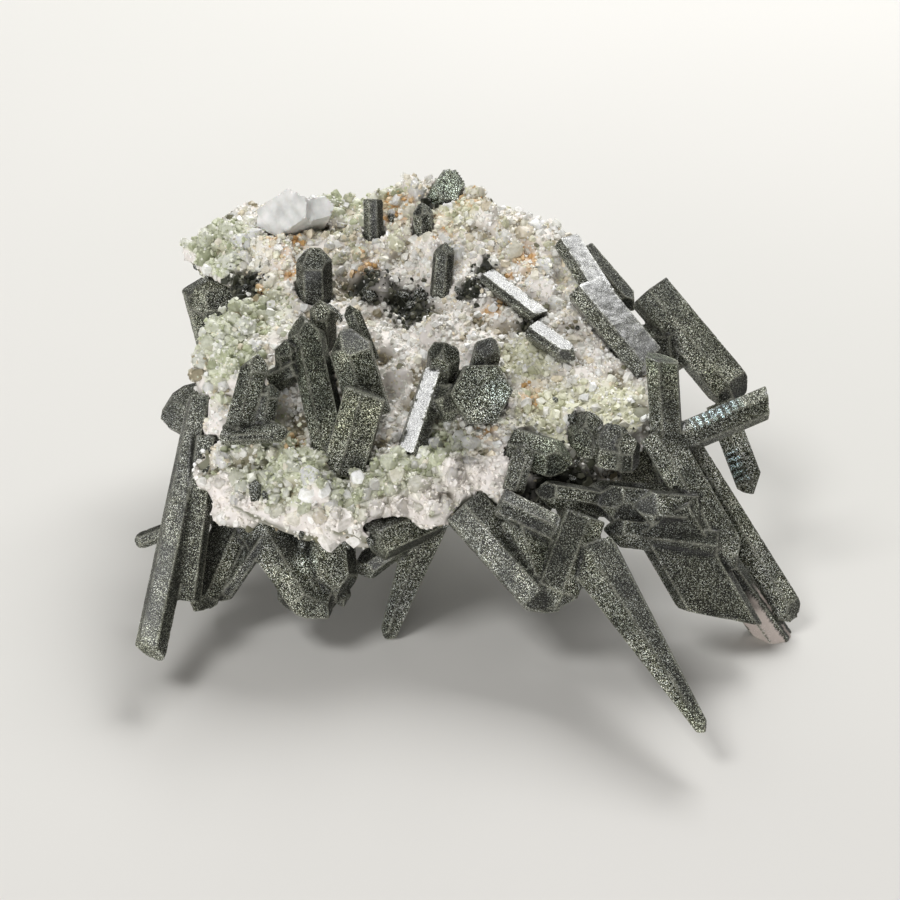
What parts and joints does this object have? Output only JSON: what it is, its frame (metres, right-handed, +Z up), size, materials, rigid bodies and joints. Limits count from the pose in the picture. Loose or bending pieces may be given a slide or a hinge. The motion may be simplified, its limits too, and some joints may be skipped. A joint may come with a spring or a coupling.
{
  "type": "quartz crystal cluster",
  "caption": "Dark chlorite-filled quartz crystals grown through a tilted pale feldspar crust, which stand on their own tips as a display specimen.",
  "frame": {"origin": "on the floor, under the middle of the cluster's bounding box", "axes": "+Z up, +X to the right along the longest extent, +Y away from the viewing side"},
  "size_m": [0.1318, 0.127, 0.0611],
  "materials": {
    "dark_quartz": "glittering, fine grained",
    "crust": "sugary, partly clear",
    "pale_block": "satin cleavage"
  },
  "bodies": {
    "root": {"left_leg_crystals": "dark_quartz", "front_left_crystals": "dark_quartz", "centre_leg_crystals": "dark_quartz", "front_wedge_crystals": "dark_quartz", "right_ledge_crystals": "dark_quartz", "right_back_crystals": "dark_quartz", "right_bar_crystals": "dark_quartz", "top_crystals": "dark_quartz", "left_top_crystals": "dark_quartz", "middle_crystals": "dark_quartz", "right_stub_crystals": "dark_quartz", "back_left_leg_crystals": "dark_quartz", "back_spray_crystals": "dark_quartz", "back_left_spray_crystals": "dark_quartz", "pale_block": "pale_block", "crust": "crust", "back_needle_crystal": "dark_quartz", "back_lath_crystal": "dark_quartz", "front_lath_crystal": "dark_quartz", "top_needle_crystal": "dark_quartz", "front_stub_crystal": "dark_quartz", "front_flake_crystal": "dark_quartz", "back_stub_crystal": "dark_quartz", "back_bar_crystal": "dark_quartz", "back_spike_crystal": "dark_quartz", "back_tooth_crystal": "dark_quartz", "back_crest_crystal": "dark_quartz", "back_right_leg_crystal": "dark_quartz", "back_right_spray_crystal": "dark_quartz", "under_left_crystal": "dark_quartz", "under_front_crystal": "dark_quartz", "under_middle_crystal": "dark_quartz", "under_right_crystal": "dark_quartz", "under_edge_crystal": "dark_quartz", "under_back_crystal": "dark_quartz"}
  },
  "joints": []
}
